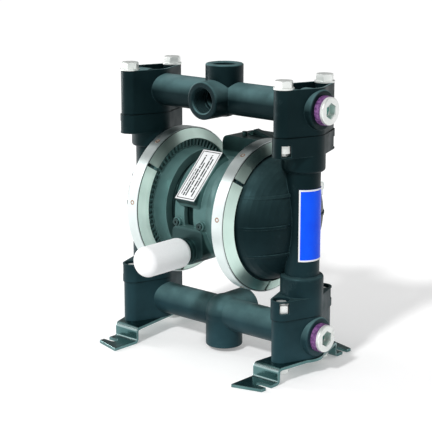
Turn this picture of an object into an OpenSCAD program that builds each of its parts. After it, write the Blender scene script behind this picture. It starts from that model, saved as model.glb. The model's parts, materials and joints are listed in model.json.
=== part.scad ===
// Air-operated double diaphragm pump, 3/4 inch ports, with plain generic labels.
// X runs along the manifolds, -Y is the muffler side, +Z is up.
// The origin lies on the floor, midway between the four feet.

/* [Layout] */
// Height of the inlet manifold's axis above the floor
inlet_axis_h = 38; // [36:1:46]
// Distance between the two manifold axes
manifold_spacing = 224; // [216:1:240]
// Distance from the pump's middle to the clamped rim of a diaphragm
clamp_x = 56.4; // [55:0.2:60]
// Distance from that rim to the axis of the fluid column
column_offset = 44.4; // [43:0.2:50]

/* [Manifolds] */
// Outer radius of the manifold pipe
pipe_r = 16.5; // [14:0.5:17]
// Radius of the liquid passage along the pipe
pipe_bore_r = 11; // [10:0.5:12]
// Radius of the upright liquid passages in ports, blocks and columns
flow_r = 10.2; // [8:0.2:10.4]
// Outer radius of the two middle port bosses
port_boss_r = 19; // [17.5:0.5:21]
// Distance from the manifold axis to the rim of a port boss
port_reach = 34; // [30:1:38]
// Radius of a port's threaded bore
port_thread_r = 12.3; // [11.5:0.1:13]
// Depth of a port's threaded bore
port_thread_depth = 18; // [14:1:20]
// Radius of a port's chamfered mouth
port_mouth_r = 13.7; // [13.5:0.1:15]
// Outer radius of the plugged end bosses
end_boss_r = 19.5; // [17.5:0.5:21]
// Distance from a column's axis to the face of an end boss
end_reach = 22.4; // [22:0.2:28]
// Distance from the manifold axis to the end block's outer face
block_outer = 21.2; // [20.5:0.1:22]
// Distance from the outlet manifold's axis to its face against the fluid cover
outlet_inner = 24; // [22:0.5:26]
// Distance from the inlet manifold's axis to its face against the fluid cover
inlet_inner = 21.4; // [21:0.2:26]
// Radius of the end block's middle
block_mid_r = 21; // [20:0.5:23]
// Radius of the end block's bolt bosses
block_ear_r = 9.5; // [8.5:0.5:11]
// Depth of the open pocket in the end block's outer face
pocket_depth = 7; // [4:1:10]
// Wall left round that pocket
pocket_wall = 2.2; // [1.6:0.2:3]
// Radius that rounds the rims of the bosses
boss_round = 1.6; // [1:0.2:2]

/* [Manifold bolts] */
// Distance from a column's axis to each of its two bolts
bolt_offset = 31.4; // [31:0.2:34]
// Radius of the bolt shank
bolt_r = 5; // [4.5:0.5:5.5]
// Clearance round the bolt shank
bolt_clearance = 0.5; // [0.3:0.1:0.8]
// Width across flats of the bolt heads
hex_af = 16; // [15:0.5:17]
// Width across flats of the nuts
nut_af = 14.3; // [13:0.1:16]
// Height of a bolt head
head_h = 6.6; // [5:0.2:7]
// Radius of the washers
washer_r = 10; // [9:0.5:10]
// Thickness of the washers
washer_t = 1.8; // [1.2:0.2:2.2]
// Height of a nut
nut_h = 8; // [6:0.5:9]
// Thread that stands past the nut
bolt_tip = 2.5; // [1:0.5:4]

/* [Fluid covers] */
// Outer radius of the fluid column
column_r = 17; // [16:0.5:18]
// Radius of the collars that hold the check valves
collar_r = 21.3; // [20.5:0.1:23]
// Length of bare column between the two collars
column_free = 103; // [96:1:112]
// Radius that rounds the collar's inner edge
collar_round = 3; // [2:0.5:4]
// Radius of the cover's bolt ears
ear_r = 10.6; // [10.2:0.2:13]
// Height of the bolt ears
ear_h = 19.5; // [19:0.5:24]
// Material between the ear's outer face and the nut
nut_ledge = 7; // [6:0.5:9]
// Width of the nut window in an ear
window_w = 10; // [8:0.5:11]
// Height of the nut window in an ear
window_h = 11; // [9:0.5:13]
// Angle that a window is turned from the column's outer side towards its ear's end
window_turn = 32; // [0:2:60]
// How far the domed chamber reaches out from the clamp flange
dome_reach = 36; // [34:1:40]
// Wall thickness of the dome
dome_wall = 5; // [4:0.5:7]
// Thickness of the ribs between dome and column
web_t = 2.6; // [2:0.2:4]
// Vertical distance between those ribs
web_pitch = 29; // [26:1:34]
// How far the ribs stand out of the dome
web_out = 2; // [1:0.5:5]

/* [Check valves] */
// Radius of the balls
ball_r = 11; // [10.8:0.1:11.4]
// Lift of the balls
ball_lift = 9; // [6:0.5:11]
// Outer radius of the ball seats
seat_r = 16; // [15.5:0.1:16.5]
// Height of the ball seats
seat_h = 5; // [4:0.5:7]
// Radius of the seat's bore
seat_bore_r = 8.6; // [8:0.1:9]
// Radius of the chamber round a ball
cage_r = 14.2; // [13.6:0.1:14.6]
// Depth of the bypass slots past an open ball
bypass_depth = 6; // [4:0.5:7]
// Width of the bypass slots
bypass_w = 5; // [4:0.5:6]
// Inner radius of the sealing rings between manifolds and covers
ring_r = 17.2; // [17:0.1:17.6]
// Radial width of the sealing rings
ring_w = 2.2; // [1.8:0.1:2.4]
// Height of the sealing rings
ring_h = 2; // [1.4:0.1:2.4]

/* [Diaphragm clamps] */
// Radius of the clamped flanges
flange_r = 70; // [69:0.5:71]
// Radial gap between a flange's rim and the V segments
rim_gap = 3.3; // [1:0.1:5]
// Thickness of the clamp strap
strap_t = 0.9; // [0.7:0.1:1.2]
// Width of the clamp strap
strap_w = 13; // [12:0.5:14]
// Radial depth of the V segments
leg_depth = 10.4; // [9:0.2:11]
// Sideways spread of a V segment's leg
leg_flare = 5.5; // [4.5:0.5:6]
// Sheet thickness of the V segments
segment_t = 1.6; // [1.2:0.1:2]
// Gap between two V segments
segment_gap = 4; // [3:0.5:6]
// Direction of the visible segment gap, from the front towards the top
first_gap_angle = 38; // [30:1:46]
// Radius of the bolt that closes a clamp
clamp_bolt_r = 3; // [2.5:0.5:3.5]

/* [Diaphragms and shaft] */
// Thickness of a diaphragm
diaphragm_t = 3; // [2:0.5:4]
// Radius of the shaft
shaft_r = 9; // [8:0.5:10]
// Travel of the shaft to each side
shaft_travel = 6; // [4:0.5:7]
// Radial width of a diaphragm's rolled fold
fold_w = 17; // [14:0.5:22]
// Thickness of those plates at their hub
plate_t = 6; // [5:0.5:7]
// Running clearance of shaft and pilot pins
running_gap = 0.05; // [0.02:0.01:0.09]
// Length of a shaft bearing
bearing_len = 16; // [12:1:20]
// Wall thickness of a shaft bearing
bearing_wall = 2.5; // [2:0.5:3]
// Radius of the pilot pins
pilot_r = 3; // [2.5:0.5:4]
// Travel of a pilot pin
pilot_travel = 4; // [3:0.5:5]
// Height of the upper pilot pin above the shaft
pilot_offset = 24; // [22:1:28]

/* [Centre housing] */
// Radial step from a flange's rim down to the side drum
drum_step = 15; // [13:0.5:17]
// Wall thickness of the side drums
drum_wall = 4; // [3:0.5:5]
// Depth of an air chamber from the diaphragm's rim
chamber_depth = 23.9; // [20:0.5:25]
// Radial step from a side drum down to the housing's middle
mid_step = 3.5; // [2:0.5:5]
// Depth of the groove beside the middle
groove_depth = 6.5; // [4:0.5:8]
// Wall between that groove and the air chamber
groove_wall = 3; // [2.5:0.5:5]
// Width of that groove
groove_w = 9; // [6:0.5:10]
// Number of ribs round the back of each flange
rib_count = 72; // [48:4:80]
// Thickness of those ribs
rib_t = 1.7; // [1.2:0.1:2.2]
// Depth of the hollows between them
rib_depth = 3; // [2:0.5:4]
// Width of the label boss
boss_w = 27; // [24:1:32]
// Length of the label boss
boss_len = 62; // [56:1:66]
// Height of the label boss above the housing's middle
boss_rise = 2.5; // [1:0.5:6]
// Width of the exhaust block
exhaust_w = 40; // [36:1:48]
// Height of the exhaust block
exhaust_h = 30; // [26:1:36]
// Height of the exhaust block's top above the muffler's axis
exhaust_rise = 23; // [20:1:26]
// How far the exhaust block stands out of the housing's middle
exhaust_out = 4.5; // [3:0.5:8]
// Distance between the two exhaust screws
exhaust_screw_pitch = 31; // [28:1:36]
// Drop of the muffler below the drum axis
muffler_drop = 35; // [32:1:38]
// Radius of the round boss that takes the muffler
muffler_boss_r = 13; // [11:0.5:15]

/* [Muffler] */
// Radius of the muffler
muffler_r = 15; // [12:0.5:16]
// Length of the muffler
muffler_len = 59; // [50:1:65]
// Rounding of the muffler's ends
muffler_round = 8; // [5:0.5:10]

/* [Air valve] */
// Left side of the air valve housing
valve_left = -20; // [-22:1:-16]
// Gap between the housing's right side and the right flange
valve_side_gap = 2.3; // [1:0.1:6]
// Height of the air valve housing's top above the side drum
valve_rise = 14; // [11:1:17]
// Bottom of the air valve housing below the drum axis
valve_bottom = 26; // [22:1:30]
// Depth of the air valve housing's top
valve_depth = 40; // [34:1:46]
// Distance from the side drum to the housing's rear face
valve_out = 5; // [3:0.5:8]
// Height of the ridge on the housing's top
ridge_h = 6.5; // [4:0.5:8]
// Height of the valve's axis above the drum axis
valve_axis_h = 26; // [24:1:30]
// Travel of the valve carriage to each side
valve_travel = 4; // [3:0.5:5]
// Radius of the actuator pistons
piston_r = 10; // [8:0.5:11]
// Thickness of the air valve cover
valve_cover_t = 9; // [7:1:12]
// Thickness of the air valve gasket
gasket_t = 1; // [0.6:0.2:1.6]
// Radius of the air inlet's threaded bore
air_thread_r = 6.4; // [6:0.1:7]
// Radius of the air inlet boss
air_boss_r = 11; // [10:0.5:13]

/* [Feet] */
// Sheet thickness of the foot brackets
foot_t = 3; // [2:0.5:4]
// Width of the feet
foot_w = 31; // [28:1:36]
// How far the outer of a bracket's two feet reaches out past the column's axis
foot_out = 13.5; // [11:0.5:16]
// How far the other foot lies further in
foot_shift = 8; // [0:0.5:10]
// Distance from the manifold bolts to a leg's outer face
leg_out = 21.1; // [18:0.1:26]
// Length of a foot in front of its leg, at its longer side
foot_len = 32.5; // [28:0.5:38]
// How much shorter its other side is
foot_slant = 8.5; // [0:0.5:12]
// Radius inside the bends
bend_r = 2; // [1:0.5:3]
// Width of the slots for the floor bolts
slot_w = 8; // [6:0.5:9]
// Distance from a foot's outer edge to the round end of its slot
slot_len = 11.2; // [8:0.2:16]
// Distance from a leg's outer face to the middle of a slot
slot_out = 14; // [12:0.5:18]

/* [Plugs and labels] */
// How far a plug stands out of its end boss
plug_out = 9.6; // [7:0.2:12]
// Outer radius of a plug
plug_r = 13.4; // [13:0.1:14]
// Width across flats of the socket in a plug
socket_af = 14; // [12:0.5:15]
// Height of the coloured label on the right cover
badge_h = 71; // [60:1:76]
// Angle that this label wraps round the column
badge_wrap = 129; // [100:1:140]
// Thickness of the labels
label_t = 0.5; // [0.3:0.1:0.8]
// Width of the white label on the boss
label_w = 25; // [20:0.5:25]
// Length of the white label on the boss
label_len = 60; // [50:1:60]

/* [Hidden] */
$fn = 96;
drum_z = inlet_axis_h + manifold_spacing / 2;
outlet_axis_h = inlet_axis_h + manifold_spacing;
lower_seat_z = inlet_axis_h + inlet_inner;
upper_seat_z = outlet_axis_h - outlet_inner;
block_base_z = inlet_axis_h - block_outer;
column_x = clamp_x + column_offset;
end_face_x = column_x + end_reach;
plug_face_x = end_face_x + plug_out;
bolt_hole_r = bolt_r + bolt_clearance;
// One overrun for every cut, and the small gap between seated pieces
over = 1;
seat_gap = 0.1;
tangent_inset = 0.03;
hex_r = hex_af / 2 / cos(30);
nut_r = nut_af / 2 / cos(30);
clamp_r = flange_r + rim_gap + segment_t + seat_gap + strap_t;
drum_r = flange_r - drum_step;
mid_r = drum_r - mid_step;
groove_r = mid_r - groove_depth;
chamber_wall_x = clamp_x - chamber_depth;
groove_outer_x = chamber_wall_x - groove_wall;
groove_inner_x = groove_outer_x - groove_w;
boss_d = mid_r + boss_rise;
exhaust_front = mid_r + exhaust_out;
valve_face = drum_r + valve_out;
valve_top = drum_r + valve_rise;
// Height of a resting ball's centre above its seat's top, and its chamber's height
ball_rise = sqrt(ball_r * ball_r - seat_bore_r * seat_bore_r) + seat_gap;
cage_h = ball_rise + ball_lift + sqrt(ball_r * ball_r - flow_r * flow_r) + seat_gap;
both_ends = [-1, 1];

// Helpers

// Cylinder along +X from the local origin
module x_rod(r, h) {
    rotate([0, 90, 0]) cylinder(r = r, h = h);
}

// Cylinder along -Y from the local origin
module front_rod(r, h) {
    rotate([90, 0, 0]) cylinder(r = r, h = h);
}

// Turns a profile of [distance along X, radius] points into a solid round the X axis
module turned_about_x(points) {
    rotate([0, 90, 0]) rotate_extrude() polygon([for (p = points) [p[1], p[0]]]);
}

// Upright cylinder with rounded rim at its top
module rounded_boss(r, h, round_r) {
    rotate_extrude() {
        square([r - round_r, h]);
        square([r, h - round_r]);
        translate([r - round_r, h - round_r]) circle(round_r, $fn = 48);
    }
}

// Outline of a two-bolt flange: a middle circle, two ear circles along Y and their tangents.
// The straight sides lie a hair inside the true tangents.
module flange_outline(mid, ear, pitch) {
    slant = asin((mid - ear) / pitch);
    mid_x = (mid - tangent_inset) * cos(slant);
    mid_y = (mid - tangent_inset) * sin(slant);
    ear_x = (ear - tangent_inset) * cos(slant);
    ear_y = pitch + (ear - tangent_inset) * sin(slant);
    circle(mid);
    for (s = both_ends) translate([0, s * pitch]) circle(ear);
    polygon([
        [mid_x, mid_y], [ear_x, ear_y], [-ear_x, ear_y], [-mid_x, mid_y],
        [-mid_x, -mid_y], [-ear_x, -ear_y], [ear_x, -ear_y], [mid_x, -mid_y]
    ]);
}

// Places children at both column axes
module at_columns() {
    for (s = both_ends) translate([s * column_x, 0, 0]) children();
}

// Places children at the four manifold bolts
module at_bolts() {
    for (s = both_ends, t = both_ends) translate([s * column_x, t * bolt_offset, 0]) children();
}

// Threaded bore with its chamfered mouth, down from the local origin
module port_bore() {
    translate([0, 0, -port_thread_depth]) cylinder(r = port_thread_r, h = port_thread_depth + over);
    chamfer = port_mouth_r - port_thread_r;
    translate([0, 0, -chamfer]) cylinder(r1 = port_thread_r, r2 = port_mouth_r + over, h = chamfer + over);
}

// Manifolds

// How far the hub behind the middle ports stands out past their bosses
hub_swell = 0.8;

// Manifold with its axis on X, its side port towards -Y and its cover side towards -Z.
// The faces against the covers lie inner below the axis.
module manifold(inner) {
    difference() {
        union() {
            translate([-column_x, 0, 0]) x_rod(pipe_r, 2 * column_x);
            rounded_boss(port_boss_r, port_reach, boss_round);
            rotate([90, 0, 0]) rounded_boss(port_boss_r, port_reach, boss_round);
            rotate([0, 90, 0]) sphere(port_boss_r + hub_swell);
            for (s = both_ends) {
                translate([s * column_x, 0, 0]) end_block(inner);
                rotate([0, s * 90, 0]) translate([0, 0, column_x])
                    rounded_boss(end_boss_r, end_face_x - column_x, boss_round);
            }
        }
        translate([-column_x, 0, 0]) x_rod(pipe_bore_r, 2 * column_x);
        cylinder(r = flow_r, h = port_reach);
        front_rod(flow_r - hub_swell, port_reach);
        translate([0, 0, port_reach]) port_bore();
        translate([0, -port_reach, 0]) rotate([90, 0, 0]) port_bore();
        for (s = both_ends) {
            translate([s * end_face_x, 0, 0]) rotate([0, s * 90, 0]) port_bore();
        }
        at_columns() translate([0, 0, -inner - over]) {
            cylinder(r = flow_r, h = inner + over);
            difference() {
                cylinder(r = ring_r + ring_w, h = ring_h + over);
                translate([0, 0, -over]) cylinder(r = ring_r, h = ring_h + 3 * over);
            }
        }
        at_bolts() translate([0, 0, -inner - over])
            cylinder(r = bolt_hole_r, h = inner + block_outer + 2 * over);
    }
}

// Crossed slots that let the liquid past a lifted ball, up from the local origin
module bypass_slots(depth) {
    slot_len = 2 * cage_r - bypass_w / 2;
    for (a = [45, 135]) rotate([0, 0, a]) translate([-slot_len / 2, -bypass_w / 2, 0])
        cube([slot_len, bypass_w, depth]);
}

// Solid end block with its open pocket round the pipe and the bolt bosses
module end_block(inner) {
    translate([0, 0, -inner]) linear_extrude(inner + block_outer - pocket_depth)
        flange_outline(block_mid_r, block_ear_r, bolt_offset);
    translate([0, 0, block_outer - pocket_depth]) linear_extrude(pocket_depth) {
        difference() {
            flange_outline(block_mid_r, block_ear_r, bolt_offset);
            flange_outline(block_mid_r - pocket_wall, block_ear_r - pocket_wall, bolt_offset);
        }
        for (s = both_ends) translate([0, s * bolt_offset]) circle(block_ear_r);
    }
}

module outlet_manifold() {
    color([0.13, 0.16, 0.17]) translate([0, 0, outlet_axis_h]) difference() {
        manifold(outlet_inner);
        at_columns() translate([0, 0, -outlet_inner - over]) bypass_slots(bypass_depth + over);
    }
}

module inlet_manifold() {
    color([0.13, 0.16, 0.17]) translate([0, 0, inlet_axis_h]) rotate([180, 0, 0]) difference() {
        manifold(inlet_inner);
        // Counterbores for the inlet seats
        at_columns() translate([0, 0, -inlet_inner - over])
            cylinder(r = seat_r + seat_gap, h = seat_h + over);
    }
}

// Fluid covers

// Points of a quarter ellipse from [0, b] to [a, 0]
function quarter_ellipse(a, b, steps) =
    [for (i = [0 : steps]) [a * sin(90 * i / steps), b * cos(90 * i / steps)]];

// X of the inner cone of a V leg at radius r, from the clamp's middle
function leg_inner_x(r) =
    strap_w / 2 + leg_flare * (clamp_r - strap_t - r) / leg_depth
    - segment_t * sqrt(leg_flare * leg_flare + leg_depth * leg_depth) / leg_depth - seat_gap;

leg_tip_r = clamp_r - strap_t - leg_depth;
flange_root_r = leg_tip_r - seat_gap;
face_x = diaphragm_t / 2;
dome_x = leg_inner_x(flange_root_r);
dome_r = flange_root_r - 1.5 * boss_round;
dome_steps = 12;

// Right cover's dome round the drum axis, from the diaphragm's face outwards
module dome_outer() {
    turned_about_x(concat(
        [[face_x, 0], [face_x, flange_r], [leg_inner_x(flange_r), flange_r], [dome_x, flange_root_r],
         [dome_x, dome_r]],
        [for (p = quarter_ellipse(dome_reach, dome_r, dome_steps)) [dome_x + p[0], p[1]]]
    ));
}

module dome_inner() {
    chamber_r = dome_r - dome_wall;
    turned_about_x(concat(
        [[face_x - over, 0], [face_x - over, chamber_r]],
        [for (p = quarter_ellipse(dome_reach - dome_wall, chamber_r, dome_steps)) [dome_x + p[0], p[1]]]
    ));
}

// Collar of height h with its rounded inner edge, up from the local origin
module collar(h) {
    rounded_boss(collar_r, h, collar_round);
}

// Bolt ears against a manifold, up from the local origin
module cover_ears() {
    linear_extrude(ear_h) flange_outline(collar_r, ear_r, bolt_offset);
}

// Nut pockets, windows and bolt holes, up from the local origin
module ear_cuts() {
    for (s = both_ends) translate([0, s * bolt_offset, 0]) {
        translate([0, 0, -over]) cylinder(r = bolt_hole_r, h = ear_h + 2 * over);
        translate([0, 0, nut_ledge]) cylinder(r = nut_r + seat_gap, h = ear_h);
        rotate([0, 0, s * window_turn]) translate([0, -window_w / 2, nut_ledge + seat_gap])
            cube([2 * ear_r, window_w, window_h]);
    }
}

// Cover on the right side: outwards is +X, and it stands between the two manifolds
module fluid_cover() {
    column_h = upper_seat_z - lower_seat_z;
    difference() {
        union() {
            translate([clamp_x, 0, drum_z]) dome_outer();
            intersection() {
                translate([clamp_x, 0, drum_z]) turned_about_x(concat(
                    [[dome_x, 0]],
                    [for (p = quarter_ellipse(dome_reach + web_out, dome_r, dome_steps)) [dome_x + p[0], p[1]]]
                ));
                for (i = [-1 : 1]) translate([clamp_x, -dome_r, drum_z + i * web_pitch - web_t / 2])
                    cube([column_x - clamp_x, 2 * dome_r, web_t]);
            }
            translate([column_x, 0, lower_seat_z]) {
                cylinder(r = column_r, h = column_h);
                collar(drum_z - column_free / 2 - lower_seat_z);
                cover_ears();
                translate([0, 0, column_h]) mirror([0, 0, 1]) {
                    collar(upper_seat_z - drum_z - column_free / 2);
                    cover_ears();
                }
            }
        }
        translate([clamp_x, 0, drum_z]) dome_inner();
        translate([column_x, 0, lower_seat_z]) {
            translate([0, 0, -over]) cylinder(r = flow_r, h = column_h + 2 * over);
            ear_cuts();
            translate([0, 0, column_h]) mirror([0, 0, 1]) ear_cuts();
            // Chamber of the inlet ball, with the ball's stop and bypass slots above it
            translate([0, 0, -over]) cylinder(r = cage_r, h = cage_h + over);
            translate([0, 0, cage_h - over]) bypass_slots(bypass_depth + over);
            // Chamber of the outlet ball, with its seat at the bottom
            translate([0, 0, column_h - cage_h - seat_h]) cylinder(r = seat_r + seat_gap, h = cage_h + seat_h + over);
        }
    }
}

module fluid_cover_right() {
    color([0.11, 0.14, 0.16]) fluid_cover();
}

module fluid_cover_left() {
    color([0.11, 0.14, 0.16]) mirror([1, 0, 0]) fluid_cover();
}

// Centre housing

flange_face_x = clamp_x - face_x;
flange_root_x = clamp_x - dome_x;
air_chamber_r = drum_r - drum_wall;
shaft_bore_r = shaft_r + bearing_wall;

// Outer form round the drum axis, with the deep groove on the left only
module housing_form() {
    turned_about_x([
        [-flange_face_x, 0], [-flange_face_x, flange_r], [-clamp_x + leg_inner_x(flange_r), flange_r],
        [-flange_root_x, flange_root_r], [-flange_root_x, drum_r], [-groove_outer_x, drum_r],
        [-groove_outer_x, groove_r], [-groove_inner_x, groove_r], [-groove_inner_x, mid_r],
        [groove_inner_x, mid_r], [groove_outer_x, drum_r], [flange_root_x, drum_r],
        [flange_root_x, flange_root_r], [clamp_x - leg_inner_x(flange_r), flange_r],
        [flange_face_x, flange_r], [flange_face_x, 0]
    ]);
}

// Air chamber behind the right diaphragm
module air_chamber() {
    turned_about_x([
        [flange_face_x + over, 0], [flange_face_x + over, flange_root_r - drum_wall],
        [flange_face_x, flange_root_r - drum_wall], [flange_root_x, air_chamber_r],
        [chamber_wall_x + drum_wall, air_chamber_r], [chamber_wall_x, air_chamber_r - drum_wall],
        [chamber_wall_x, 0]
    ]);
}

// Hollows between the radial ribs on the back of the right flange
module rib_hollows() {
    hollow_out_r = flange_root_r - boss_round / 2;
    hollow_in_r = drum_r + boss_round;
    translate([flange_root_x - over, 0, 0]) rotate([0, 90, 0]) linear_extrude(rib_depth + over) difference() {
        circle(hollow_out_r, $fn = rib_count);
        circle(hollow_in_r, $fn = rib_count);
        for (i = [0 : rib_count / 2 - 1]) rotate(i * 360 / rib_count) square([2 * flange_r, rib_t], center = true);
    }
}

// Rectangle from [x0, y0] to [x1, y1] with rounded corners
module rounded_box_outline(x0, y0, x1, y1, r) {
    translate([x0 + r, y0]) square([x1 - x0 - 2 * r, y1 - y0]);
    translate([x0, y0 + r]) square([x1 - x0, y1 - y0 - 2 * r]);
    for (x = [x0 + r, x1 - r], y = [y0 + r, y1 - r]) translate([x, y]) circle(r, $fn = 48);
}

// Places an outline that is drawn in [X, height above the drum axis] and extrudes it towards +Y
module to_rear(y0, y1) {
    translate([0, y1, drum_z]) rotate([90, 0, 0]) linear_extrude(y1 - y0) children();
}

valve_right = flange_root_x - valve_side_gap;
valve_mid_x = (valve_left + valve_right) / 2;
valve_cavity_x = chamber_wall_x - drum_wall / 2;
valve_shift_x = (valve_cavity_x + valve_left + drum_wall / 2) / 2;
valve_axis_y = valve_face - piston_r - face_x;
carriage_w = 2 * piston_r;
piston_len = valve_cavity_x - valve_shift_x - valve_travel - seat_gap;
valve_round = 7;
screw_r = 2.5;
screw_head_r = 4.4;
screw_head_h = 4;
screw_depth = 9;
screw_inset = 7.5;

// Places children at the six screws of the air valve cover, in [X, height above the drum axis]
module at_valve_screws() {
    for (x = [valve_left + screw_inset, valve_mid_x, valve_right - screw_inset],
         z = [screw_inset - valve_bottom, valve_top - screw_inset])
        translate([x, z]) children();
}

module valve_outline(inset) {
    rounded_box_outline(valve_left + inset, inset - valve_bottom, valve_right - inset, valve_top - inset,
                        valve_round);
}

// Exhaust block values, measured from the drum axis
exhaust_top = exhaust_rise - muffler_drop;
boss_corner = 2;
exhaust_corner = 6;
exhaust_lug_r = 4.6;
exhaust_lug_back = 1.5;
boss_reach = 5;
muffler_neck_r = 8;
front_slot_w = 12;
front_slot_h = 22;
front_slot_depth = 8;

// Exhaust block in [X, height above the drum axis] with the round lug behind the muffler
module exhaust_outline() {
    rounded_box_outline(-exhaust_w / 2, exhaust_top - exhaust_h, exhaust_w / 2, exhaust_top, exhaust_corner);
    translate([0, -muffler_drop]) circle(muffler_boss_r + boss_round);
}

module center_housing() {
    color([0.2, 0.27, 0.28]) difference() {
        union() {
            translate([0, 0, drum_z]) housing_form();
            to_rear(0, valve_face - valve_depth + over)
                rounded_box_outline(valve_left, -valve_bottom, valve_right, groove_r, valve_round);
            to_rear(valve_face - valve_depth, valve_face) valve_outline(0);
            valve_ridge();
            valve_knob();
            translate([0, 0, drum_z]) rotate([45, 0, 0]) translate([0, 0, boss_d / 2])
                linear_extrude(boss_d / 2)
                rounded_box_outline(-boss_w / 2, -boss_len / 2, boss_w / 2, boss_len / 2, boss_corner);
            to_rear(-exhaust_front, 0) exhaust_outline();
            to_rear(-exhaust_front + exhaust_lug_back, 0) at_exhaust_screws() circle(exhaust_lug_r, $fn = 48);
            translate([0, -exhaust_front, drum_z - muffler_drop]) front_rod(muffler_boss_r, boss_reach);
        }
        translate([0, 0, drum_z]) {
            for (s = both_ends) rotate([0, 0, s > 0 ? 0 : 180]) {
                air_chamber();
                rib_hollows();
            }
            translate([-flange_face_x, 0, 0]) x_rod(shaft_bore_r, 2 * flange_face_x);
            pilot_bore_depth = chamber_wall_x - groove_inner_x / 2;
            translate([-chamber_wall_x - over, 0, pilot_offset])
                x_rod(pilot_r + running_gap, pilot_bore_depth + over);
            translate([chamber_wall_x - pilot_bore_depth, 0, -pilot_offset])
                x_rod(pilot_r + running_gap, pilot_bore_depth + over);
        }
        // Air valve cavity: a channel for the pistons and a deeper pocket for plate and carriage
        translate([valve_shift_x, 0, drum_z + valve_axis_h]) {
            half = valve_cavity_x - valve_shift_x;
            translate([-half, valve_axis_y, 0]) x_rod(piston_r + running_gap, 2 * half);
            translate([-half, valve_axis_y, -piston_r - running_gap])
                cube([2 * half, valve_face, 2 * (piston_r + running_gap)]);
            translate([-half * 3 / 4, valve_axis_y - carriage_w, -piston_r * 3 / 4])
                cube([half * 3 / 2, carriage_w, piston_r * 3 / 2]);
        }
        to_rear(valve_face - screw_depth, valve_face + over) at_valve_screws() circle(screw_r, $fn = 48);
        // Exhaust port with its screws, and the slot above the block
        translate([0, -exhaust_front + screw_depth, drum_z - muffler_drop])
            front_rod(muffler_neck_r, screw_depth + boss_reach + over);
        to_rear(-exhaust_front - over, -exhaust_front + screw_depth) at_exhaust_screws() circle(screw_r, $fn = 48);
        translate([-front_slot_w / 2 - boss_corner, -mid_r - over, drum_z + exhaust_top])
            cube([front_slot_w, front_slot_depth + over, front_slot_h]);
    }
}

// Places children at the two screws above the exhaust block, in [X, height above the drum axis]
module at_exhaust_screws() {
    for (s = both_ends) translate([s * exhaust_screw_pitch / 2, exhaust_top + exhaust_lug_r - over]) children();
}

module exhaust_screws() {
    seat_y = -exhaust_front + exhaust_lug_back;
    color([0.25, 0.3, 0.31]) {
        to_rear(seat_y, -exhaust_front + screw_depth - over)
            at_exhaust_screws() circle(screw_r - running_gap, $fn = 48);
        to_rear(seat_y - screw_head_h / 2, seat_y) at_exhaust_screws() difference() {
            circle(screw_head_r - over, $fn = 48);
            circle(screw_r / 2, $fn = 6);
        }
    }
}

// Low gable across the top of the air valve housing
ridge_y = valve_face - valve_depth / 2;
ridge_t = 7;
ridge_left_x = -2;
ridge_top_x = 8.5;
ridge_right_x = 32;

module valve_ridge() {
    to_rear(ridge_y - ridge_t / 2, ridge_y + ridge_t / 2) polygon([
        [ridge_left_x, valve_top - valve_round], [ridge_right_x, valve_top - valve_round],
        [ridge_right_x, valve_top], [ridge_top_x, valve_top + ridge_h], [ridge_left_x, valve_top]
    ]);
}

// Small round stud beside that ridge
knob_r = 2.6;
knob_h = 5;

module valve_knob() {
    translate([ridge_left_x + 2 * knob_r, ridge_y - ridge_t - 2 * knob_r, drum_z + valve_top - valve_round])
        cylinder(r = knob_r, h = valve_round + knob_h, $fn = 48);
}

// Air valve

module air_valve_gasket() {
    color([0.07, 0.07, 0.08]) to_rear(valve_face, valve_face + gasket_t) difference() {
        valve_outline(over);
        at_valve_screws() circle(screw_r + seat_gap, $fn = 48);
        translate([valve_shift_x, valve_axis_h]) square([2 * carriage_w, carriage_w], center = true);
    }
}

valve_cover_y = valve_face + gasket_t;
air_boss_len = 9;

module air_valve_cover() {
    color([0.14, 0.18, 0.19]) difference() {
        union() {
            to_rear(valve_cover_y, valve_cover_y + valve_cover_t) valve_outline(over);
            translate([valve_shift_x, valve_cover_y + valve_cover_t + air_boss_len, drum_z + valve_axis_h])
                front_rod(air_boss_r, air_boss_len + over);
        }
        translate([valve_shift_x, valve_cover_y + valve_cover_t + air_boss_len + over, drum_z + valve_axis_h])
            front_rod(air_thread_r, valve_cover_t + air_boss_len + 2 * over);
        to_rear(valve_face, valve_cover_y + valve_cover_t + over)
            at_valve_screws() circle(screw_r + seat_gap, $fn = 48);
    }
}

module air_valve_screws() {
    top_y = valve_cover_y + valve_cover_t;
    color([0.7, 0.72, 0.72]) {
        to_rear(valve_face - screw_depth + over, top_y) at_valve_screws() circle(screw_r - running_gap, $fn = 48);
        to_rear(top_y, top_y + screw_head_h) at_valve_screws() difference() {
            circle(screw_head_r, $fn = 48);
            circle(screw_r, $fn = 6);
        }
    }
}

plate_y = valve_axis_y - carriage_w;
valve_plate_t = 3;

module valve_plate() {
    half = (valve_cavity_x - valve_shift_x) * 3 / 4 - seat_gap;
    color([0.75, 0.73, 0.65]) translate([valve_shift_x, plate_y, drum_z + valve_axis_h]) difference() {
        translate([-half, 0, -piston_r * 3 / 4 + seat_gap])
            cube([2 * half, valve_plate_t, piston_r * 3 / 2 - 2 * seat_gap]);
        for (i = [-1 : 1]) translate([i * half / 2, -over, 0])
            rotate([-90, 0, 0]) cylinder(r = screw_r, h = valve_plate_t + 2 * over);
    }
}

// Slider that covers and opens the ports of the valve plate
module valve_carriage() {
    half = carriage_w / 2 - valve_travel / 2;
    color([0.85, 0.83, 0.75]) translate([valve_shift_x, plate_y + valve_plate_t + running_gap, drum_z + valve_axis_h])
        translate([-half, 0, -piston_r * 3 / 4 + 4 * running_gap])
        cube([2 * half, carriage_w / 2 - valve_plate_t, piston_r * 3 / 2 - 8 * running_gap]);
}

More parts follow.
